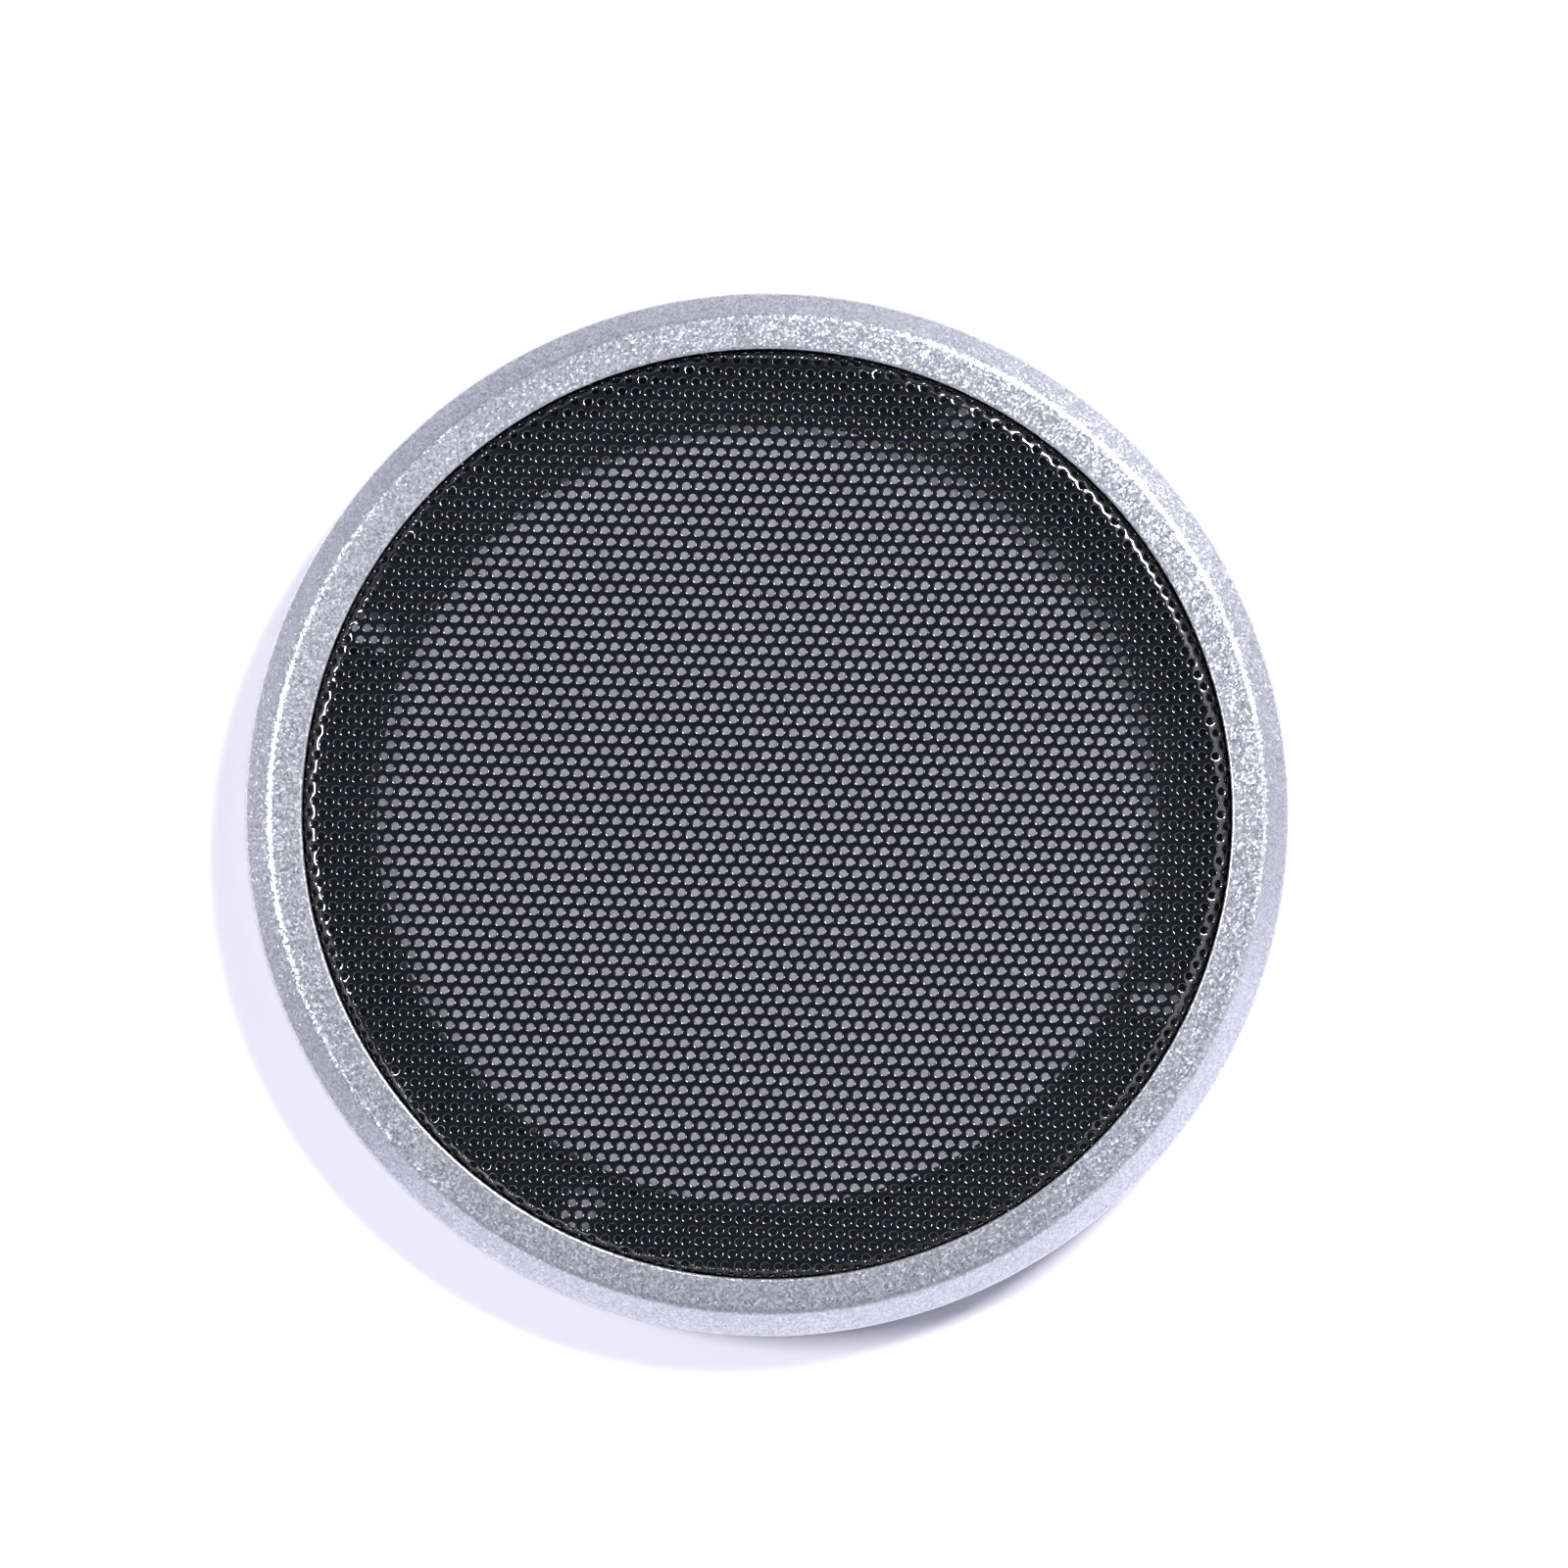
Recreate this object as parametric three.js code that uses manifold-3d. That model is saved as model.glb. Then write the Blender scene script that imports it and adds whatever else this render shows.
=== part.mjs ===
// Round speaker grille cover for a car door or shelf, in millimetres.
// A perforated steel screen is held in a silver trim ring, and that cover is pushed onto a screwed-down mounting ring.
// The origin is the centre of the mounting ring's rear face, and +Z points to the front, out of the panel.
import * as THREE from "three";
import { mergeVertices } from "three/addons/utils/BufferGeometryUtils.js";
import Module from "manifold-3d";

// Driving dimensions.
const OUTER_R = 78; // trim ring's upright wall
const RIDGE_R = 74.4; // trim ring, where the face turns over into the bevel
const BORE_R = 69.4; // trim ring, around the screen
const LIP_TOP_Z = 12; // the highest point of the assembly
const RIDGE_TOP_Z = 11.75;
const SCREEN_TOP_Z = 11.6;
const OPENING_R = 58.5; // mounting ring's sound opening
const PLATE_T = 2;
const COLLAR_OUTER_R = 75.2;
const COLLAR_TOP_Z = 6.5;
const SLOT_CIRCLE_R = 64.7;
const SLOT_WIDTH = 5.8; // across the radius
const SLOT_LENGTH = 7.8; // along the radius
const FIRST_SLOT_DEG = 64.7; // from +X towards +Y
const COUNT = 4; // slots, and tongues halfway between them
const REST_GAP = 0.3; // between pieces that rest on each other
const SEGMENTS = 72; // around the full circle
const CURVE_STEPS = 2; // along a quadratic curve, and twice as many along an arc
const ROUND_STEPS = 8; // around each end of a slot
const MERGE_GAP = 1e-4; // points closer than this become one
const OVERCUT = 1; // how far a cutting block stands clear of what it cuts

// Trim ring.
const WALL = 1.6;
const FOOT_Z = REST_GAP;
const BEVEL_DEG = 41; // of the bevel, below the horizontal
const BEVEL_ROUND = 0.6; // where the bevel meets the upright wall
const LIP_FILLET = 0.7;
const RIDGE_ROUND = 0.5;
const SHOULDER_Z = 9.2; // underside that the screen's hem bears on
const RECESS_R = 73; // wall around the hem and the clamp ring
const WALL_INNER_R = OUTER_R - WALL;
const BEAD_R = 76; // snap bead below the barbs
const BEAD_TOP_Z = 4.6;
const BEAD_BOTTOM_Z = 4;
const BEAD_SLOPE_Z = 0.5;

// Screen: a pan with a turned-out hem.
const SHEET_T = 0.6;
const PAN_OUTER_R = BORE_R - REST_GAP;
const PAN_BEND_R = 2.3;
const HEM_OUTER_R = RECESS_R - 0.6;
const HEM_TOP_Z = SHOULDER_Z - REST_GAP;

// Clamp ring, pressed into the recess under the hem.
const CLAMP_INNER_R = 69.6;
const CLAMP_OUTER_R = RECESS_R - REST_GAP;
const CLAMP_TOP_Z = HEM_TOP_Z - SHEET_T - REST_GAP;
const CLAMP_T = 1;
const STEP_Z = COLLAR_TOP_Z + REST_GAP; // trim ring's step, which rests on the mounting ring's collar

// Mounting ring.
const COLLAR_T = 1.5;
const LIP_T = 1.5;
const INNER_LIP_Z = 3.4;
const EDGE_R = 0.4; // moulded edge rounding
const BOSS_MARGIN = 1.5; // raised pad around each slot
const BOSS_Z = PLATE_T + 0.8;

// Snap tongues.
const TONGUE_T = 1.1;
const TONGUE_WIDTH = 10;
const TONGUE_GAP = 0.4; // beside the tongue
const TONGUE_BOTTOM_Z = PLATE_T + REST_GAP;
const TONGUE_TOP_Z = 6.2;
const BARB_R = 75.8;
const BARB_BOTTOM_Z = 5.2;
const BARB_TIP_Z = 5.6;

const wasm = await Module();
wasm.setup();

function solidFrom(geometry) {
  const bare = geometry.index ? geometry.toNonIndexed() : geometry.clone();
  bare.deleteAttribute("normal");
  bare.deleteAttribute("uv");
  const merged = mergeVertices(bare, MERGE_GAP);
  return new wasm.Manifold(
    new wasm.Mesh({
      numProp: 3,
      vertProperties: merged.attributes.position.array,
      triVerts: new Uint32Array(merged.index.array),
    }),
  );
}

function geometryFrom(solid) {
  const mesh = solid.getMesh();
  const geometry = new THREE.BufferGeometry();
  geometry.setAttribute("position", new THREE.BufferAttribute(mesh.vertProperties, 3));
  geometry.setIndex(new THREE.BufferAttribute(mesh.triVerts, 1));
  geometry.computeVertexNormals();
  return geometry;
}

// Turns a closed outline of radius and height, drawn anticlockwise, about the Z axis.
function turned(outline) {
  const points = outline.getPoints(CURVE_STEPS);
  if (!points.at(-1).equals(points[0])) points.push(points[0].clone());
  return new THREE.LatheGeometry(points, SEGMENTS).rotateX(Math.PI / 2);
}

function extruded(shape, bottom, top) {
  const settings = { depth: top - bottom, bevelEnabled: false, curveSegments: ROUND_STEPS };
  return new THREE.ExtrudeGeometry(shape, settings).translate(0, 0, bottom);
}

function trimRingOutline() {
  const o = new THREE.Shape();
  const faceEndR = BORE_R + LIP_FILLET;
  const faceSlope = (LIP_TOP_Z - RIDGE_TOP_Z) / (RIDGE_R - faceEndR);
  const slope = Math.tan(THREE.MathUtils.degToRad(BEVEL_DEG));
  const bevelFootZ = RIDGE_TOP_Z - (OUTER_R - RIDGE_R) * slope;
  o.moveTo(OUTER_R, FOOT_Z);
  o.lineTo(OUTER_R, bevelFootZ - BEVEL_ROUND);
  o.quadraticCurveTo(OUTER_R, bevelFootZ, OUTER_R - BEVEL_ROUND, bevelFootZ + BEVEL_ROUND * slope);
  o.lineTo(RIDGE_R + RIDGE_ROUND, RIDGE_TOP_Z - RIDGE_ROUND * slope);
  const faceStartZ = RIDGE_TOP_Z + RIDGE_ROUND * faceSlope;
  o.quadraticCurveTo(RIDGE_R, RIDGE_TOP_Z, RIDGE_R - RIDGE_ROUND, faceStartZ);
  o.lineTo(faceEndR, LIP_TOP_Z);
  o.absarc(faceEndR, LIP_TOP_Z - LIP_FILLET, LIP_FILLET, Math.PI / 2, Math.PI, false);
  o.lineTo(BORE_R, SHOULDER_Z);
  o.lineTo(RECESS_R, SHOULDER_Z);
  o.lineTo(RECESS_R, STEP_Z);
  o.lineTo(WALL_INNER_R, STEP_Z);
  o.lineTo(WALL_INNER_R, BEAD_TOP_Z + BEAD_SLOPE_Z);
  o.lineTo(BEAD_R, BEAD_TOP_Z);
  o.lineTo(BEAD_R, BEAD_BOTTOM_Z);
  o.lineTo(WALL_INNER_R, BEAD_BOTTOM_Z - BEAD_SLOPE_Z);
  o.lineTo(WALL_INNER_R, FOOT_Z);
  o.closePath();
  return o;
}

function screenOutline() {
  const o = new THREE.Shape();
  const bendCentreR = PAN_OUTER_R - PAN_BEND_R;
  const bendCentreZ = SCREEN_TOP_Z - PAN_BEND_R;
  const flangeInnerR = PAN_OUTER_R - SHEET_T;
  const hemBottomZ = HEM_TOP_Z - SHEET_T;
  o.moveTo(0, SCREEN_TOP_Z - SHEET_T);
  o.lineTo(bendCentreR, SCREEN_TOP_Z - SHEET_T);
  o.absarc(bendCentreR, bendCentreZ, PAN_BEND_R - SHEET_T, Math.PI / 2, 0, true);
  o.lineTo(flangeInnerR, hemBottomZ + SHEET_T);
  o.absarc(PAN_OUTER_R, hemBottomZ + SHEET_T, SHEET_T, Math.PI, 1.5 * Math.PI, false);
  o.lineTo(HEM_OUTER_R, hemBottomZ);
  o.lineTo(HEM_OUTER_R, HEM_TOP_Z);
  o.lineTo(PAN_OUTER_R, HEM_TOP_Z);
  o.lineTo(PAN_OUTER_R, bendCentreZ);
  o.absarc(bendCentreR, bendCentreZ, PAN_BEND_R, 0, Math.PI / 2, false);
  o.lineTo(0, SCREEN_TOP_Z);
  return o;
}

function clampRingOutline() {
  const o = new THREE.Shape();
  o.moveTo(CLAMP_INNER_R, CLAMP_TOP_Z - CLAMP_T);
  o.lineTo(CLAMP_OUTER_R, CLAMP_TOP_Z - CLAMP_T);
  o.lineTo(CLAMP_OUTER_R, CLAMP_TOP_Z);
  o.lineTo(CLAMP_INNER_R, CLAMP_TOP_Z);
  o.closePath();
  return o;
}

function mountingRingOutline() {
  const o = new THREE.Shape();
  const lipOuterR = OPENING_R + LIP_T;
  const collarInnerR = COLLAR_OUTER_R - COLLAR_T;
  o.moveTo(OPENING_R, 0);
  o.lineTo(COLLAR_OUTER_R, 0);
  o.lineTo(COLLAR_OUTER_R, COLLAR_TOP_Z);
  o.lineTo(collarInnerR, COLLAR_TOP_Z);
  o.lineTo(collarInnerR, PLATE_T);
  o.lineTo(lipOuterR, PLATE_T);
  o.lineTo(lipOuterR, INNER_LIP_Z - EDGE_R);
  o.absarc(lipOuterR - EDGE_R, INNER_LIP_Z - EDGE_R, EDGE_R, 0, Math.PI / 2, false);
  o.absarc(OPENING_R + EDGE_R, INNER_LIP_Z - EDGE_R, EDGE_R, Math.PI / 2, Math.PI, false);
  o.closePath();
  return o;
}

function tongueOutline() {
  const o = new THREE.Shape();
  const innerR = COLLAR_OUTER_R - TONGUE_T;
  o.moveTo(innerR, TONGUE_BOTTOM_Z);
  o.lineTo(COLLAR_OUTER_R, TONGUE_BOTTOM_Z);
  o.lineTo(COLLAR_OUTER_R, BARB_BOTTOM_Z);
  o.lineTo(BARB_R, BARB_BOTTOM_Z);
  o.lineTo(BARB_R, BARB_TIP_Z);
  o.lineTo(COLLAR_OUTER_R, TONGUE_TOP_Z);
  o.lineTo(innerR, TONGUE_TOP_Z);
  o.closePath();
  return o;
}

// A slot's outline, grown by a margin on every side, lying along the radius at an angle.
function slotShape(degrees, margin) {
  const endR = SLOT_WIDTH / 2 + margin;
  const half = (SLOT_LENGTH - SLOT_WIDTH) / 2;
  const shape = new THREE.Shape();
  const a = THREE.MathUtils.degToRad(degrees);
  const radius = new THREE.Vector2(Math.cos(a), Math.sin(a));
  const outer = radius.clone().multiplyScalar(SLOT_CIRCLE_R + half);
  const inner = radius.clone().multiplyScalar(SLOT_CIRCLE_R - half);
  shape.absarc(outer.x, outer.y, endR, a - Math.PI / 2, a + Math.PI / 2, false);
  shape.absarc(inner.x, inner.y, endR, a + Math.PI / 2, a + 1.5 * Math.PI, false);
  shape.closePath();
  return shape;
}

// A block as thick as the collar and four overcuts, centred on the radius at an angle.
function collarBlock(degrees, width, bottom, top) {
  const depth = COLLAR_T + 4 * OVERCUT;
  const block = new THREE.BoxGeometry(depth, width, top - bottom);
  block.translate(COLLAR_OUTER_R - COLLAR_T / 2, 0, (top + bottom) / 2);
  return block.rotateZ(THREE.MathUtils.degToRad(degrees));
}

const slotAngles = Array.from({ length: COUNT }, (_, i) => FIRST_SLOT_DEG + (360 / COUNT) * i);
const tongueAngles = slotAngles.map((angle) => angle + 180 / COUNT);

function mountingRing() {
  let ring = solidFrom(turned(mountingRingOutline()));
  for (const angle of slotAngles) {
    const boss = solidFrom(extruded(slotShape(angle, BOSS_MARGIN), PLATE_T / 2, BOSS_Z));
    ring = ring.add(boss);
  }
  for (const angle of slotAngles) {
    const slot = solidFrom(extruded(slotShape(angle, 0), -OVERCUT, BOSS_Z + OVERCUT));
    ring = ring.subtract(slot);
  }
  for (const angle of tongueAngles) {
    const width = TONGUE_WIDTH + 2 * TONGUE_GAP;
    const gap = solidFrom(collarBlock(angle, width, PLATE_T, COLLAR_TOP_Z + OVERCUT));
    ring = ring.subtract(gap);
  }
  return geometryFrom(ring);
}

function snapTongue(angle) {
  const band = solidFrom(turned(tongueOutline()));
  const block = solidFrom(collarBlock(angle, TONGUE_WIDTH, 0, COLLAR_TOP_Z));
  return geometryFrom(band.intersect(block));
}

const silver = { color: 0xb4b6bb, roughness: 0.38, metalness: 0.75 };
const glossBlack = { color: 0x16171c, roughness: 0.18, metalness: 0.1 };
const mattBlack = { color: 0x1a1b1e, roughness: 0.6, metalness: 0 };

const grille = new THREE.Group();
grille.name = "speaker_grille_cover";

function addPiece(parent, name, geometry, look) {
  const mesh = new THREE.Mesh(geometry, new THREE.MeshStandardMaterial(look));
  mesh.name = name;
  parent.add(mesh);
}

const cover = new THREE.Group();
cover.name = "cover";
grille.add(cover);
addPiece(cover, "trim_ring", turned(trimRingOutline()), silver);
addPiece(cover, "mesh_screen", turned(screenOutline()), glossBlack);
addPiece(cover, "mesh_clamp_ring", turned(clampRingOutline()), mattBlack);

const mount = new THREE.Group();
mount.name = "mount";
grille.add(mount);
addPiece(mount, "mounting_ring", mountingRing(), mattBlack);
tongueAngles.forEach((angle, i) => {
  addPiece(mount, `snap_tongue_${i + 1}`, snapTongue(angle), mattBlack);
});

export default grille;
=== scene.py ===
"""The looks of a round speaker grille cover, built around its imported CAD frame.

Sizes are in millimetres unless a name ends in _M. Heights are above the mounting ring's flat rear face.
"""

import math

import bpy
import numpy as np
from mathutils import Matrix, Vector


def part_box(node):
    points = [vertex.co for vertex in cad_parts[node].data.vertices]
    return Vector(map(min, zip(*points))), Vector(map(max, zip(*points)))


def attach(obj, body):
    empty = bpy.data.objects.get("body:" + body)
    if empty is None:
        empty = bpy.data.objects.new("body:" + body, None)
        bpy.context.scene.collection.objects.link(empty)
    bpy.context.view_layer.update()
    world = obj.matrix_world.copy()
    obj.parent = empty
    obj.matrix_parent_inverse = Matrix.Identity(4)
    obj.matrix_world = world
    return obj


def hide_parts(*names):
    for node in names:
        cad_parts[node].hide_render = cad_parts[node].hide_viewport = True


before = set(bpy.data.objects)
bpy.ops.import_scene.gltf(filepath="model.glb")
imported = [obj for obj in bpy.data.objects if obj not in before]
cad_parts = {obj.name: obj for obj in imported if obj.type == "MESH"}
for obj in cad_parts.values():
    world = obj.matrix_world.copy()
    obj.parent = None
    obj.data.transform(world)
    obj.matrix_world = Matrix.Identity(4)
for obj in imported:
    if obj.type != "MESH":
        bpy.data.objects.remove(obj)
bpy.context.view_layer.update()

MM = 0.001


def lowest(node):
    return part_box(node)[0] / MM


def highest(node):
    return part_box(node)[1] / MM


# ---------------------------------------------------------------- sizes

# From the frame.
OUTER_R = highest("trim_ring").x
FOOT_Z = lowest("trim_ring").z
LIP_TOP_Z = highest("trim_ring").z
SCREEN_TOP_Z = highest("mesh_screen").z
HEM_OUTER_R = highest("mesh_screen").x
HEM_BOTTOM_Z = lowest("mesh_screen").z
CLAMP_OUTER_R = highest("mesh_clamp_ring").x
CLAMP_TOP_Z = highest("mesh_clamp_ring").z
CLAMP_BOTTOM_Z = lowest("mesh_clamp_ring").z
COLLAR_OUTER_R = highest("mounting_ring").x
COLLAR_TOP_Z = highest("mounting_ring").z
TONGUE_BOTTOM_Z = lowest("snap_tongue_1").z
TONGUE_TOP_Z = highest("snap_tongue_1").z

# Trim ring.
WALL = 1.6
BORE_R = 69.4
RIDGE_R = 74.4
FACE_FALL = 0.25  # from the lip out to the ridge
RIDGE_TOP_Z = LIP_TOP_Z - FACE_FALL
BEVEL_DEG = 41
BEVEL_FOOT_Z = RIDGE_TOP_Z - (OUTER_R - RIDGE_R) * math.tan(math.radians(BEVEL_DEG))
LIP_CORNER_RISE = 0.022  # the lip's corner before rounding, above its top after
SHOULDER_Z = 9.2
RECESS_R = 73.0
GAP = 0.3  # between pieces that bear on each other
STEP_Z = COLLAR_TOP_Z + GAP
WALL_INNER_R = OUTER_R - WALL
BEAD_R = 76.0
BEAD_TOP_Z = 4.6
BEAD_BOTTOM_Z = 4.0
BEAD_SLOPE_Z = 0.5
BARE_MARGIN_R = 0.3  # slack in telling the bare faces by where their middles are
BARE_MARGIN_Z = 0.1
UNDERSIDE_NORMAL_Z = -0.5  # faces that look further down than this are bare

# Screen, and the ring that clamps its rim.
SHEET_T = 0.6
PITCH = 2.0
ROW_DEG = -1.6  # the rows of perforations fall to the right
FIRST_HOLE = (0.65, 0.06)  # the hole nearest the middle
HOLE_R = 0.565
HOLE_EDGE_R = 0.2  # rounding of each hole's front edge under the paint
HOLE_BACK_R = 0.12
WEB_DOME_DEG = 9  # the paint's slope where the web meets a hole's rounded edge
WEB_DOME_H = 0.02
EDGE_DEGS = (WEB_DOME_DEG, 35, 62, 90)  # slopes of the rings of points round a hole's front edge
BACK_DEGS = (90, 135, 180)
RIM_SHARE = 0.45  # of the pitch, from the sheet's edge to the nearest hole's middle
ROWS = 60  # each way from the middle, more than the sheet holds
BEND_R = 2.0  # middle surface, where the pan turns down
HEM_BEND_R = 0.6  # middle surface, where it turns out again
FLANGE_R = 68.9  # middle surface
CLAMP_INNER_R = 69.6

# Mounting ring.
OPENING_R = 58.5
PLATE_T = 2.0
COLLAR_T = 1.5
LIP_T = 1.5
INNER_LIP_Z = 3.4
BOSS_Z = PLATE_T + 0.8
BOSS_MARGIN = 1.5
BOSS_EDGE_R = 0.3
SLOT_EDGE_R = 0.35
SLOT_CIRCLE_R = 64.7
SLOT_WIDTH = 5.8
SLOT_LENGTH = 7.8
FIRST_SLOT_DEG = 64.7
COUNT = 4  # slots, with a tongue between each two

# Snap tongues.
TONGUE_T = 1.1
TONGUE_WIDTH = 10.0
TONGUE_GAP = 0.4
BARB_R = 75.8
BARB_BOTTOM_Z = 5.2
BARB_TIP_Z = 5.6
TONGUE_TOP_INSET = 0.05
TONGUE_SHARP_DEG = 60

# Roundings of corners.
RIDGE_ROUND = 2.0
BEVEL_FOOT_ROUND = 1.2
FILLET = 0.5
LIP_ROUND = 0.4
EDGE = 0.3
CREASE = 0.2
TIGHT = 0.15
BARB_ROUND = 0.12
CRISP = 0.1

# Meshes.
SEGMENTS = 360
ARC_DEG = 18  # a rounded corner turns by about this much at each step
HOLE_SIDES = 12
SLOT_END_POINTS = 19  # around each end
TONGUE_SECTIONS = 17
CLEAR = 1.0  # how far a cutting block stands clear of what it cuts
MERGE_STEPS = 1000  # in a millimetre: points that round to the same step are one
TINY = 1e-9

# Finishes.
FLAKES_PER_M = 3400.0
FLAKE_TILT = 0.31  # spread of what a flake adds to each part of the normal
FLAKE_STRAY_M = 0.00025  # spread of the wander of a flake's outline
STRAY_SCALE = 5200.0
MID_GREY = (0.5, 0.5, 0.5)
NOISE_MIDDLE = (0.3, 0.7)  # the part of a noise that a finish is spread over

# View and light.
OBJECT_SHARE = 0.6661  # of the picture's width
OBJECT_RIGHT = -0.0105  # of the picture's width, from its middle
OBJECT_UP = -0.0196
CAMERA_HEIGHT_M = 2.5
CAMERA_ASIDE_M = (0.0217, -0.028)
SENSOR_MM = 36.0
CLIP_END_M = 20
FLOOR_HALF_M = 6.0
WINDOW_DEG = -75  # azimuth of its middle, from +X towards +Y
WINDOW_FADE_DEG = (72, 50)  # from its middle: dark, full
WINDOW_FADE_Z = (0.5, 0.27)  # sine of the elevation: dark, full
WINDOW_COLOUR = (2.12, 2.18, 2.44)
ROOM_LOW = (0.085, 0.09, 0.11)  # at the horizon
ROOM_HIGH = (0.045, 0.052, 0.085)  # overhead
BACKDROP = (1.05, 1.05, 1.08)  # what the camera sees past the floor
LEVEL_MIN = 0.001  # keeps a direction straight up from dividing by zero


# ---------------------------------------------------------------- mesh code


def new_piece(name, vertices, faces):
    """A mesh object from points in millimetres."""
    mesh = bpy.data.meshes.new(name)
    faces = faces.tolist() if isinstance(faces, np.ndarray) else faces
    mesh.from_pydata((np.asarray(vertices) * MM).tolist(), [], faces)
    piece = bpy.data.objects.new(name, mesh)
    bpy.context.scene.collection.objects.link(piece)
    return piece


def rounded(corners):
    """A closed outline from (x, y, radius) corners, each turned into an arc of that radius."""
    points = []
    count = len(corners)
    for i, (x, y, radius) in enumerate(corners):
        here = np.array([x, y], float)
        back = np.array(corners[i - 1][:2], float) - here
        ahead = np.array(corners[(i + 1) % count][:2], float) - here
        back /= np.linalg.norm(back)
        ahead /= np.linalg.norm(ahead)
        half = math.acos(np.clip(back @ ahead, -1, 1)) / 2
        centre = here + (back + ahead) / np.linalg.norm(back + ahead) * radius / math.sin(half)
        start = here + back * radius / math.tan(half) - centre
        end = here + ahead * radius / math.tan(half) - centre
        turn = math.atan2(start[0] * end[1] - start[1] * end[0], start @ end)
        steps = max(2, round(abs(math.degrees(turn)) / ARC_DEG))
        for k in range(steps + 1):
            c, s = math.cos(turn * k / steps), math.sin(turn * k / steps)
            points.append(centre + np.array([c * start[0] - s * start[1], s * start[0] + c * start[1]]))
    return np.array(points)


def turned(name, outline):
    """A ring turned about Z from a closed anticlockwise outline of radius and height."""
    count = len(outline)
    angle = np.arange(SEGMENTS) * 2 * math.pi / SEGMENTS
    x = np.outer(np.cos(angle), outline[:, 0])
    y = np.outer(np.sin(angle), outline[:, 0])
    z = np.broadcast_to(outline[:, 1], x.shape)
    here, ahead = np.arange(count), np.roll(np.arange(count), -1)
    faces = []
    for i in range(SEGMENTS):
        a, b = i * count, (i + 1) % SEGMENTS * count
        faces.append(np.stack([a + here, b + here, b + ahead, a + ahead], axis=1))
    return new_piece(name, np.stack([x, y, z], axis=-1).reshape(-1, 3), np.concatenate(faces))


def stacked(name, outlines):
    """A closed solid from outlines with equal counts of points, one beyond another.

    Each outline runs anticlockwise as seen from the last one.
    """
    count = len(outlines[0])
    here, ahead = np.arange(count), np.roll(np.arange(count), -1)
    faces = [here[::-1].tolist()]
    for i in range(len(outlines) - 1):
        a, b = i * count, (i + 1) * count
        faces += np.stack([a + here, a + ahead, b + ahead, b + here], axis=1).tolist()
    faces.append((here + (len(outlines) - 1) * count).tolist())
    return new_piece(name, np.concatenate(outlines), faces)


def turned_to(degrees, x, y, z):
    """Points with x along the radius at an angle, and y across it."""
    a = math.radians(degrees)
    x, y, z = np.broadcast_arrays(x, y, z)
    return np.column_stack([x * math.cos(a) - y * math.sin(a), x * math.sin(a) + y * math.cos(a), z])


def combine(piece, tool, operation):
    """Joins tool to piece, or cuts it out, and removes it."""
    change = piece.modifiers.new("boolean", "BOOLEAN")
    change.operation = operation
    change.solver = "EXACT"
    change.object = tool
    made = bpy.data.meshes.new_from_object(piece.evaluated_get(bpy.context.evaluated_depsgraph_get()))
    piece.modifiers.clear()
    piece.data = made
    bpy.data.objects.remove(tool)


def soften(piece, sharp_deg=40):
    """Smooth shading that keeps flat faces flat and edges over sharp_deg sharp."""
    piece.data.shade_smooth()
    piece.data.set_sharp_from_angle(angle=math.radians(sharp_deg))
    weigh = piece.modifiers.new("weigh", "WEIGHTED_NORMAL")
    weigh.keep_sharp = True
    weigh.weight = 100


# ---------------------------------------------------------------- shader code


def put(tree, kind, inputs=(), **settings):
    """Adds a node with its settings, and sets or links its inputs."""
    node = tree.nodes.new("ShaderNode" + kind)
    for key, value in settings.items():
        setattr(node, key, value)
    for key, value in dict(inputs).items():
        if isinstance(value, bpy.types.NodeSocket):
            tree.links.new(value, node.inputs[key])
        else:
            node.inputs[key].default_value = value
    return node


def calc(tree, operation, a, b=0.0):
    """The result of one Math node."""
    return put(tree, "Math", {0: a, 1: b}, operation=operation).outputs[0]


def smooth_step(tree, value, low, high):
    """A smooth change from 0 where value is low to 1 where it is high."""
    inputs = {"Value": value, "From Min": low, "From Max": high}
    return put(tree, "MapRange", inputs, interpolation_type="SMOOTHSTEP").outputs["Result"]


def ramp(tree, value, stops):
    """A colour for value, from (place, colour) stops."""
    node = put(tree, "ValToRGB", {"Fac": value})
    elements = node.color_ramp.elements
    while len(elements) < len(stops):
        elements.new(0.5)
    for element, (place, colour) in zip(elements, stops, strict=True):
        element.position = place
        element.color = (*colour, 1)
    return node.outputs["Color"]


def noise(tree, place, scale, detail):
    """The value of a Noise Texture."""
    return put(tree, "TexNoise", {"Vector": place, "Scale": scale, "Detail": detail}).outputs["Fac"]


def drift_colour(tree, shader, value, dark, light):
    """Gives the shader a base colour that drifts between two colours with a noise."""
    low, high = NOISE_MIDDLE
    tree.links.new(ramp(tree, value, [(low, dark), (high, light)]), shader.inputs["Base Color"])


def drift_roughness(tree, shader, value, smooth, rough):
    """Gives the shader a roughness that drifts between two values with a noise."""
    low, high = NOISE_MIDDLE
    inputs = {"Value": value, "From Min": low, "From Max": high, "To Min": smooth, "To Max": rough}
    tree.links.new(put(tree, "MapRange", inputs).outputs["Result"], shader.inputs["Roughness"])


def new_material(name, **shader):
    """A material with one Principled shader.

    Returns the material, its node tree, the shader and the object's coordinates.
    """
    material = bpy.data.materials.new(name)
    material.use_nodes = True
    tree = material.node_tree
    principled = tree.nodes["Principled BSDF"]
    for key, value in shader.items():
        principled.inputs[key.replace("_", " ")].default_value = value
    place = put(tree, "TexCoord").outputs["Object"]
    return material, tree, principled, place


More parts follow.
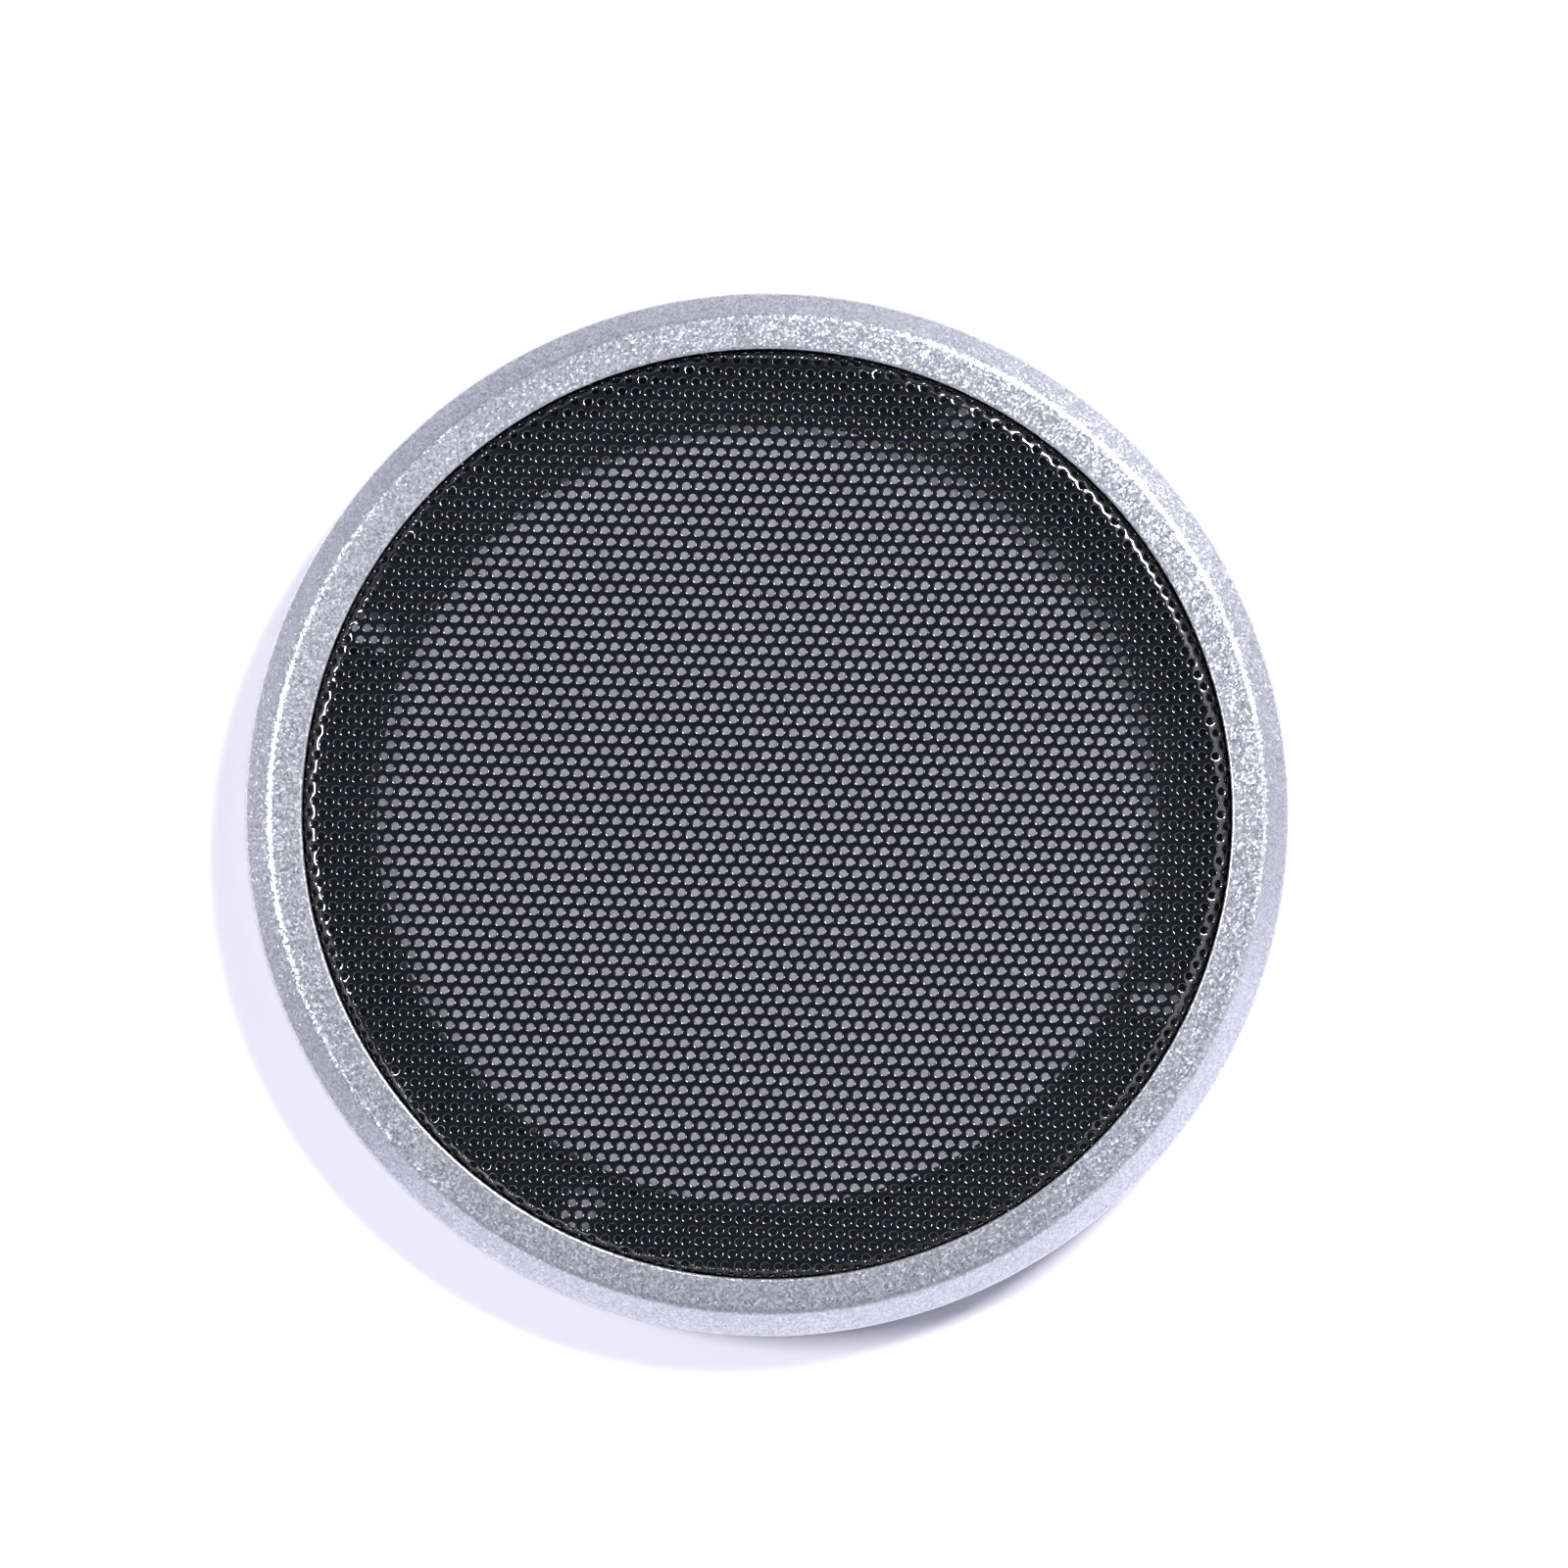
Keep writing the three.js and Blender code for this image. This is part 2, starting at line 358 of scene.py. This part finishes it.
def silver_flake_paint():
    """Silver paint with coarse flakes, each tilted its own way, under clear lacquer."""
    material, tree, shader, place = new_material(
        "silver_flake_paint", Metallic=0.72, Coat_Weight=1.0, Coat_Roughness=0.09
    )
    wander = put(tree, "TexNoise", {"Vector": place, "Scale": STRAY_SCALE, "Detail": 1.0})
    shift = put(tree, "VectorMath", {0: wander.outputs["Color"], 1: MID_GREY}, operation="SUBTRACT")
    small = put(tree, "VectorMath", {0: shift.outputs[0], "Scale": FLAKE_STRAY_M}, operation="SCALE")
    strayed = put(tree, "VectorMath", {0: place, 1: small.outputs[0]}, operation="ADD")
    flake = put(tree, "TexVoronoi", {"Vector": strayed.outputs[0], "Scale": FLAKES_PER_M})
    lean = put(tree, "VectorMath", {0: flake.outputs["Color"], 1: MID_GREY}, operation="SUBTRACT")
    tilt = put(tree, "VectorMath", {0: lean.outputs[0], "Scale": FLAKE_TILT}, operation="SCALE")
    normal = put(tree, "NewGeometry").outputs["Normal"]
    tilted = put(tree, "VectorMath", {0: normal, 1: tilt.outputs[0]}, operation="ADD")
    unit = put(tree, "VectorMath", {0: tilted.outputs[0]}, operation="NORMALIZE")
    tree.links.new(unit.outputs[0], shader.inputs["Normal"])
    split = put(tree, "SeparateColor", {0: flake.outputs["Color"]})
    stops = [(0.0, (0.27, 0.275, 0.31)), (0.5, (0.38, 0.385, 0.435)), (1.0, (0.49, 0.495, 0.56))]
    tree.links.new(ramp(tree, split.outputs["Blue"], stops), shader.inputs["Base Color"])
    rough = put(tree, "MapRange", {"Value": split.outputs["Green"], "To Min": 0.32, "To Max": 0.43})
    tree.links.new(rough.outputs["Result"], shader.inputs["Roughness"])
    return material


def black_powder_coat():
    """Gloss blue-black powder coat on the steel screen."""
    material, tree, shader, place = new_material(
        "black_powder_coat", IOR=1.5, Coat_Weight=1.0, Coat_IOR=1.95, Coat_Roughness=0.04
    )
    cloud = noise(tree, place, scale=60.0, detail=3.0)
    drift_colour(tree, shader, cloud, dark=(0.002, 0.0023, 0.004), light=(0.003, 0.0033, 0.0055))
    fine = noise(tree, place, scale=900.0, detail=2.0)
    drift_roughness(tree, shader, fine, smooth=0.14, rough=0.22)
    return material


def black_abs():
    """Moulded black plastic with a fine spark-eroded grain."""
    material, tree, shader, place = new_material("black_abs")
    cloud = noise(tree, place, scale=45.0, detail=4.0)
    drift_colour(tree, shader, cloud, dark=(0.022, 0.022, 0.025), light=(0.03, 0.03, 0.034))
    grain = noise(tree, place, scale=2600.0, detail=2.0)
    drift_roughness(tree, shader, grain, smooth=0.38, rough=0.52)
    bump = put(tree, "Bump", {"Height": grain, "Strength": 0.25, "Distance": 0.00005})
    tree.links.new(bump.outputs[0], shader.inputs["Normal"])
    return material


def pale_floor():
    """Pale matt floor with a barely uneven tone."""
    material, tree, shader, place = new_material("pale_floor", Roughness=0.8, Specular_IOR_Level=0.1)
    cloud = noise(tree, place, scale=3.0, detail=2.0)
    drift_colour(tree, shader, cloud, dark=(0.84, 0.81, 0.91), light=(0.86, 0.83, 0.93))
    return material


# ---------------------------------------------------------------- pieces


def trim_ring_outline():
    """The ring's section, from the foot of its outer wall over the top and back down inside."""
    painted = [
        (OUTER_R, FOOT_Z, EDGE),
        (OUTER_R, BEVEL_FOOT_Z, BEVEL_FOOT_ROUND),
        (RIDGE_R, RIDGE_TOP_Z, RIDGE_ROUND),
        (BORE_R, LIP_TOP_Z + LIP_CORNER_RISE, LIP_ROUND),
    ]
    bare = [
        (BORE_R, SHOULDER_Z, TIGHT),
        (RECESS_R, SHOULDER_Z, CREASE),
        (RECESS_R, STEP_Z, CREASE),
        (WALL_INNER_R, STEP_Z, EDGE),
        (WALL_INNER_R, BEAD_TOP_Z + BEAD_SLOPE_Z, CREASE),
        (BEAD_R, BEAD_TOP_Z, CRISP),
        (BEAD_R, BEAD_BOTTOM_Z, CRISP),
        (WALL_INNER_R, BEAD_BOTTOM_Z - BEAD_SLOPE_Z, CREASE),
        (WALL_INNER_R, FOOT_Z, CREASE),
    ]
    return rounded(painted + bare)


def make_trim_ring(paint, plastic):
    """Painted outside, down the bore as far as the screen's rim, and bare plastic inside."""
    piece = turned("painted_trim_ring", trim_ring_outline())
    piece.data.materials.append(paint)
    piece.data.materials.append(plastic)
    for face in piece.data.polygons:
        x, y, z = face.center / MM
        radius = math.hypot(x, y)
        inside = radius < WALL_INNER_R + BARE_MARGIN_R and z < STEP_Z + BARE_MARGIN_Z
        below_shoulder = SHOULDER_Z - BARE_MARGIN_Z > z > STEP_Z - BARE_MARGIN_Z
        recess = below_shoulder and radius < RECESS_R + BARE_MARGIN_R
        under = face.normal.z < UNDERSIDE_NORMAL_Z
        face.material_index = 1 if inside or under or recess else 0
    soften(piece)
    return piece


def sheet_place(along):
    """Where the screen's middle surface is at each distance along it from the middle.

    Returns its radius, height and tilt there, and the whole distance to the sheet's edge.
    """
    top = SCREEN_TOP_Z - SHEET_T / 2
    hem = HEM_BOTTOM_Z + SHEET_T / 2
    bend_r = FLANGE_R - BEND_R
    quarter = math.pi / 2
    flange_top, flange_foot = top - BEND_R, hem + HEM_BEND_R
    ends = np.cumsum([bend_r, BEND_R * quarter, flange_top - flange_foot, HEM_BEND_R * quarter])
    turn = np.clip((along - ends[0]) / BEND_R, 0, quarter)
    back = np.clip((along - ends[2]) / HEM_BEND_R, 0, quarter)
    fall = np.clip(along - ends[1], 0, flange_top - flange_foot)
    run = np.maximum(along - ends[3], 0)
    radius = np.minimum(along, bend_r) + BEND_R * np.sin(turn) + HEM_BEND_R * (1 - np.cos(back)) + run
    height = top - BEND_R * (1 - np.cos(turn)) - fall - HEM_BEND_R * np.sin(back)
    return radius, height, turn - back, ends[3] + HEM_OUTER_R - FLANGE_R - HEM_BEND_R


def hole_centres(reach):
    """The middle of each hole on the flat sheet, as far out as reach."""
    lean = math.radians(ROW_DEG)
    rows = np.arange(-ROWS, ROWS + 1)
    i, j = np.meshgrid(rows, rows)
    x = (i + j / 2) * PITCH
    y = j * PITCH * math.sqrt(3) / 2
    x, y = (
        x * math.cos(lean) - y * math.sin(lean) + FIRST_HOLE[0],
        x * math.sin(lean) + y * math.cos(lean) + FIRST_HOLE[1],
    )
    keep = np.hypot(x, y) < reach
    return x[keep], y[keep]


def hole_rings():
    """The rings of points around a hole, from the front of the web to its back.

    Each is its radius, or None for the web's hexagon, its height above the middle surface, and how far its
    normal leans from straight up, in radians.
    """
    half = SHEET_T / 2
    rings = [(None, half, 0.0)]
    for degrees in EDGE_DEGS:
        a = math.radians(degrees)
        radius = HOLE_R + HOLE_EDGE_R * (1 - math.sin(a))
        rings.append((radius, half - WEB_DOME_H - HOLE_EDGE_R * (1 - math.cos(a)), a))
    for degrees in BACK_DEGS:
        a = math.radians(degrees)
        radius = HOLE_R + HOLE_BACK_R * (1 - math.sin(a))
        rings.append((radius, -half + HOLE_BACK_R * (1 + math.cos(a)), a))
    rings.append((None, -half, math.pi))
    return rings


def make_screen(paint):
    """The perforated sheet: a hexagon of web around every hole, wrapped over the pan's section."""
    edge = sheet_place(np.array([0.0]))[3]
    cx, cy = hole_centres(edge - PITCH * RIM_SHARE)
    lean = math.radians(ROW_DEG)
    around = np.arange(HOLE_SIDES) * 2 * math.pi / HOLE_SIDES
    sector = math.pi / 3
    to_web = PITCH / 2 / np.cos((around + sector / 2) % sector - sector / 2)
    dx, dy = np.cos(around + lean), np.sin(around + lean)
    rings = hole_rings()
    shape = (len(cx), len(rings), HOLE_SIDES)
    flat = np.zeros((*shape, 3))
    slope = np.zeros((*shape, 3))
    for k, (radius, height, a) in enumerate(rings):
        reach = to_web if radius is None else radius
        flat[:, k, :, 0] = cx[:, None] + dx * reach
        flat[:, k, :, 1] = cy[:, None] + dy * reach
        flat[:, k, :, 2] = height
        slope[:, k, :, 0] = -dx * math.sin(a)
        slope[:, k, :, 1] = -dy * math.sin(a)
        slope[:, k, :, 2] = math.cos(a)
    cells = np.arange(np.prod(shape)).reshape(shape)
    after = np.roll(cells, -1, axis=2)
    faces = np.stack([cells[:, :-1], after[:, :-1], after[:, 1:], cells[:, 1:]], axis=-1).reshape(-1, 4)
    flat, slope = flat.reshape(-1, 3), slope.reshape(-1, 3)
    # Webs of neighbouring holes share their corners.
    key = np.round(flat * MERGE_STEPS).astype(np.int64)
    _, first, index = np.unique(key, axis=0, return_index=True, return_inverse=True)
    index = index.ravel()
    faces, flat, slope = index[faces], flat[first], slope[first]
    faces = np.concatenate([faces, outer_walls(index[cells])])
    points, normals = wrapped(flat, slope)
    piece = new_piece("perforated_screen", points, faces)
    piece.data.materials.append(paint)
    piece.data.shade_smooth()
    piece.data.normals_split_custom_set_from_vertices(normals.tolist())
    return piece


def outer_walls(cells):
    """Faces that close the sheet's outer edge, front to back, where a hexagon has no neighbour."""
    top, bottom = cells[:, 0], cells[:, -1]
    a, b = top.ravel(), np.roll(top, -1, axis=1).ravel()
    c, d = bottom.ravel(), np.roll(bottom, -1, axis=1).ravel()
    size = cells.max() + 1
    sides = a.astype(np.int64) * size + b
    twins = b.astype(np.int64) * size + a
    alone = ~np.isin(sides, twins)
    return np.stack([b, a, c, d], axis=1)[alone]


def wrapped(flat, slope):
    """Points and normals of the flat sheet carried over the pan's section."""
    along = np.hypot(flat[:, 0], flat[:, 1])
    out = flat[:, :2] / np.maximum(along, TINY)[:, None]
    edge = sheet_place(along)[3]
    radius, height, tilt, _ = sheet_place(np.minimum(along, edge))
    radius = radius + flat[:, 2] * np.sin(tilt)
    points = np.column_stack([out * radius[:, None], height + flat[:, 2] * np.cos(tilt)])
    outward = (slope[:, :2] * out).sum(axis=1)
    around = slope[:, :2] - out * outward[:, None]
    leaned = outward * np.cos(tilt) + slope[:, 2] * np.sin(tilt)
    upward = -outward * np.sin(tilt) + slope[:, 2] * np.cos(tilt)
    return points, np.column_stack([around + out * leaned[:, None], upward])


def make_clamp_ring(plastic):
    """The plain ring that holds the screen's rim up in the trim ring."""
    corners = [
        (CLAMP_INNER_R, CLAMP_BOTTOM_Z, CREASE),
        (CLAMP_OUTER_R, CLAMP_BOTTOM_Z, EDGE),
        (CLAMP_OUTER_R, CLAMP_TOP_Z, TIGHT),
        (CLAMP_INNER_R, CLAMP_TOP_Z, CREASE),
    ]
    piece = turned("screen_clamp_ring", rounded(corners))
    piece.data.materials.append(plastic)
    soften(piece)
    return piece


def slot_outline(degrees, margin, height):
    """A radial slot's outline at a height, grown by margin on every side."""
    end_r = SLOT_WIDTH / 2 + margin
    half = (SLOT_LENGTH - SLOT_WIDTH) / 2
    turn = np.linspace(-math.pi / 2, math.pi / 2, SLOT_END_POINTS)
    outer = np.column_stack([half + end_r * np.cos(turn), end_r * np.sin(turn)])
    shape = np.concatenate([outer, -outer])
    return turned_to(degrees, SLOT_CIRCLE_R + shape[:, 0], shape[:, 1], height)


def edge_flare(radius):
    """How far below an edge, and how far past it, each step of a quarter round is."""
    turns = np.radians(np.arange(0, 91, ARC_DEG))
    return [(radius * (1 - math.sin(t)), radius * (1 - math.cos(t))) for t in turns]


def boss_block(degrees):
    """The raised pad around a slot, rounded off at its top."""
    outlines = [slot_outline(degrees, BOSS_MARGIN, PLATE_T / 2)]
    for depth, growth in edge_flare(BOSS_EDGE_R):
        outlines.append(slot_outline(degrees, BOSS_MARGIN - growth, BOSS_Z - depth))
    return stacked("boss", outlines)


def slot_block(degrees):
    """A slot flared at both faces, and running clear of them."""
    flare = edge_flare(SLOT_EDGE_R)
    widest = flare[-1][1]
    outlines = [slot_outline(degrees, widest, -CLEAR)]
    outlines += [slot_outline(degrees, growth, depth) for depth, growth in flare[::-1]]
    outlines += [slot_outline(degrees, growth, BOSS_Z - depth) for depth, growth in flare]
    outlines.append(slot_outline(degrees, widest, BOSS_Z + CLEAR))
    return stacked("slot", outlines)


def gap_block(degrees):
    """The gap in the collar that a tongue stands in."""
    x = COLLAR_OUTER_R - COLLAR_T / 2 + np.array([-1, 1, 1, -1]) * (COLLAR_T / 2 + CLEAR)
    y = np.array([-1, -1, 1, 1]) * (TONGUE_WIDTH / 2 + TONGUE_GAP)
    return stacked("gap", [turned_to(degrees, x, y, z) for z in (PLATE_T, COLLAR_TOP_Z + CLEAR)])


def make_mounting_ring(plastic):
    """A flat ring with a lip round its opening, a collar, four slotted pads and the tongues' four gaps."""
    lip_r = OPENING_R + LIP_T
    collar_r = COLLAR_OUTER_R - COLLAR_T
    corners = [
        (OPENING_R, 0, EDGE),
        (COLLAR_OUTER_R, 0, EDGE),
        (COLLAR_OUTER_R, COLLAR_TOP_Z, EDGE),
        (collar_r, COLLAR_TOP_Z, EDGE),
        (collar_r, PLATE_T, FILLET),
        (lip_r, PLATE_T, FILLET),
        (lip_r, INNER_LIP_Z, FILLET),
        (OPENING_R, INNER_LIP_Z, FILLET),
    ]
    piece = turned("moulded_mounting_ring", rounded(corners))
    slots = [FIRST_SLOT_DEG + 360 / COUNT * i for i in range(COUNT)]
    for degrees in slots:
        combine(piece, boss_block(degrees), "UNION")
    for degrees in slots:
        combine(piece, slot_block(degrees), "DIFFERENCE")
        combine(piece, gap_block(degrees + 180 / COUNT), "DIFFERENCE")
    piece.data.materials.clear()
    piece.data.materials.append(plastic)
    soften(piece)
    return piece


def make_tongue(name, degrees, plastic):
    """A strip of the collar with a barb, cut off square at both sides."""
    inner = COLLAR_OUTER_R - TONGUE_T
    outline = rounded(
        [
            (inner, TONGUE_BOTTOM_Z, CRISP),
            (COLLAR_OUTER_R, TONGUE_BOTTOM_Z, CRISP),
            (COLLAR_OUTER_R, BARB_BOTTOM_Z, CRISP),
            (BARB_R, BARB_BOTTOM_Z, BARB_ROUND),
            (BARB_R, BARB_TIP_Z, TIGHT),
            (COLLAR_OUTER_R - TONGUE_TOP_INSET, TONGUE_TOP_Z, CREASE),
            (inner, TONGUE_TOP_Z, EDGE),
        ]
    )
    across = np.linspace(TONGUE_WIDTH / 2, -TONGUE_WIDTH / 2, TONGUE_SECTIONS)
    sections = [turned_to(degrees, np.sqrt(outline[:, 0] ** 2 - y * y), y, outline[:, 1]) for y in across]
    piece = stacked(name, sections)
    piece.data.materials.append(plastic)
    edges = piece.modifiers.new("edges", "BEVEL")
    edges.width = BARB_ROUND * MM
    edges.segments = 2
    edges.angle_limit = math.radians(TONGUE_SHARP_DEG)
    soften(piece, TONGUE_SHARP_DEG)
    return piece


# ---------------------------------------------------------------- surroundings


def make_floor():
    half = FLOOR_HALF_M / MM
    corners = [(-half, -half, 0), (half, -half, 0), (half, half, 0), (-half, half, 0)]
    floor = new_piece("floor", corners, [(0, 1, 2, 3)])
    floor.data.materials.append(pale_floor())


def make_light(name, azimuth_deg, elevation_deg, radiance, wide_m, tall_m, away_m=1.5):
    """A flat rectangular light aimed at the object. Azimuth is from +X towards +Y."""
    light = bpy.data.lights.new(name, "AREA")
    light.shape = "RECTANGLE"
    light.size = wide_m
    light.size_y = tall_m
    light.energy = radiance * math.pi * wide_m * tall_m
    lamp = bpy.data.objects.new(name, light)
    bpy.context.scene.collection.objects.link(lamp)
    a, e = math.radians(azimuth_deg), math.radians(elevation_deg)
    lamp.location = (
        away_m * math.cos(a) * math.cos(e),
        away_m * math.sin(a) * math.cos(e),
        away_m * math.sin(e),
    )
    lamp.rotation_euler = (math.pi / 2 - e, 0, a + math.pi / 2)
    lamp.visible_camera = False


def make_world():
    """A dim cool room, with a long bright window low down on one side."""
    world = bpy.data.worlds.new("studio")
    bpy.context.scene.world = world
    world.use_nodes = True
    tree = world.node_tree
    tree.nodes.clear()
    way = put(tree, "SeparateXYZ", {0: put(tree, "TexCoord").outputs["Generated"]})
    x, y, z = way.outputs
    level = calc(tree, "SQRT", calc(tree, "ADD", calc(tree, "MULTIPLY", x, x), calc(tree, "MULTIPLY", y, y)))
    middle = math.radians(WINDOW_DEG)
    towards_x = calc(tree, "MULTIPLY", x, math.cos(middle))
    towards_y = calc(tree, "MULTIPLY", y, math.sin(middle))
    towards = calc(tree, "ADD", towards_x, towards_y)
    cosine = calc(tree, "DIVIDE", towards, calc(tree, "MAXIMUM", level, LEVEL_MIN))
    dark, full = (math.cos(math.radians(off)) for off in WINDOW_FADE_DEG)
    sector = smooth_step(tree, cosine, dark, full)
    window = calc(tree, "MULTIPLY", sector, smooth_step(tree, z, *WINDOW_FADE_Z))
    room = ramp(tree, z, [(0.0, ROOM_LOW), (1.0, ROOM_HIGH)])
    lit = put(tree, "Mix", {0: window, 6: room, 7: (*WINDOW_COLOUR, 1)}, data_type="RGBA").outputs[2]
    seen = put(tree, "LightPath").outputs["Is Camera Ray"]
    shown = put(tree, "Mix", {0: seen, 6: lit, 7: (*BACKDROP, 1)}, data_type="RGBA").outputs[2]
    glow = put(tree, "Background", {"Color": shown})
    out = put(tree, "OutputWorld")
    tree.links.new(glow.outputs[0], out.inputs["Surface"])


def make_camera():
    """Straight overhead, and a little aside, with the object where the picture wants it."""
    data = bpy.data.cameras.new("camera")
    camera = bpy.data.objects.new("camera", data)
    bpy.context.scene.collection.objects.link(camera)
    bpy.context.scene.camera = camera
    aside_x, aside_y = CAMERA_ASIDE_M
    camera.location = (aside_x, aside_y, CAMERA_HEIGHT_M)
    camera.rotation_euler = (math.atan2(-aside_y, CAMERA_HEIGHT_M), math.atan2(aside_x, CAMERA_HEIGHT_M), 0)
    distance = CAMERA_HEIGHT_M - BEVEL_FOOT_Z * MM
    data.sensor_width = SENSOR_MM
    data.lens = SENSOR_MM * distance * OBJECT_SHARE / (2 * OUTER_R * MM)
    data.shift_x = -OBJECT_RIGHT
    data.shift_y = -OBJECT_UP
    data.clip_end = CLIP_END_M


# ---------------------------------------------------------------- the whole

make_camera()
make_world()
make_light("left_softbox", azimuth_deg=176, elevation_deg=45, radiance=52, wide_m=0.5, tall_m=0.25)
make_light("upper_right_softbox", azimuth_deg=45, elevation_deg=44, radiance=88, wide_m=0.5, tall_m=0.3)
make_light("right_wall", azimuth_deg=5, elevation_deg=50, radiance=0.8, wide_m=2.2, tall_m=1.4, away_m=1.8)
make_floor()
bpy.context.scene.view_settings.view_transform = "Standard"

silver = silver_flake_paint()
gloss = black_powder_coat()
plastic = black_abs()

trim_ring = make_trim_ring(silver, plastic)
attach(trim_ring, "cover")
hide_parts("trim_ring")

screen = make_screen(gloss)
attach(screen, "cover")
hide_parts("mesh_screen")

clamp_ring = make_clamp_ring(plastic)
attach(clamp_ring, "cover")
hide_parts("mesh_clamp_ring")

mounting_ring = make_mounting_ring(plastic)
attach(mounting_ring, "mount")
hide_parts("mounting_ring")

for number in range(1, COUNT + 1):
    degrees = FIRST_SLOT_DEG + 360 / COUNT * (number - 0.5)
    tongue = make_tongue(f"sprung_tongue_{number}", degrees, plastic)
    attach(tongue, f"tongue_{number}")
    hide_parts(f"snap_tongue_{number}")
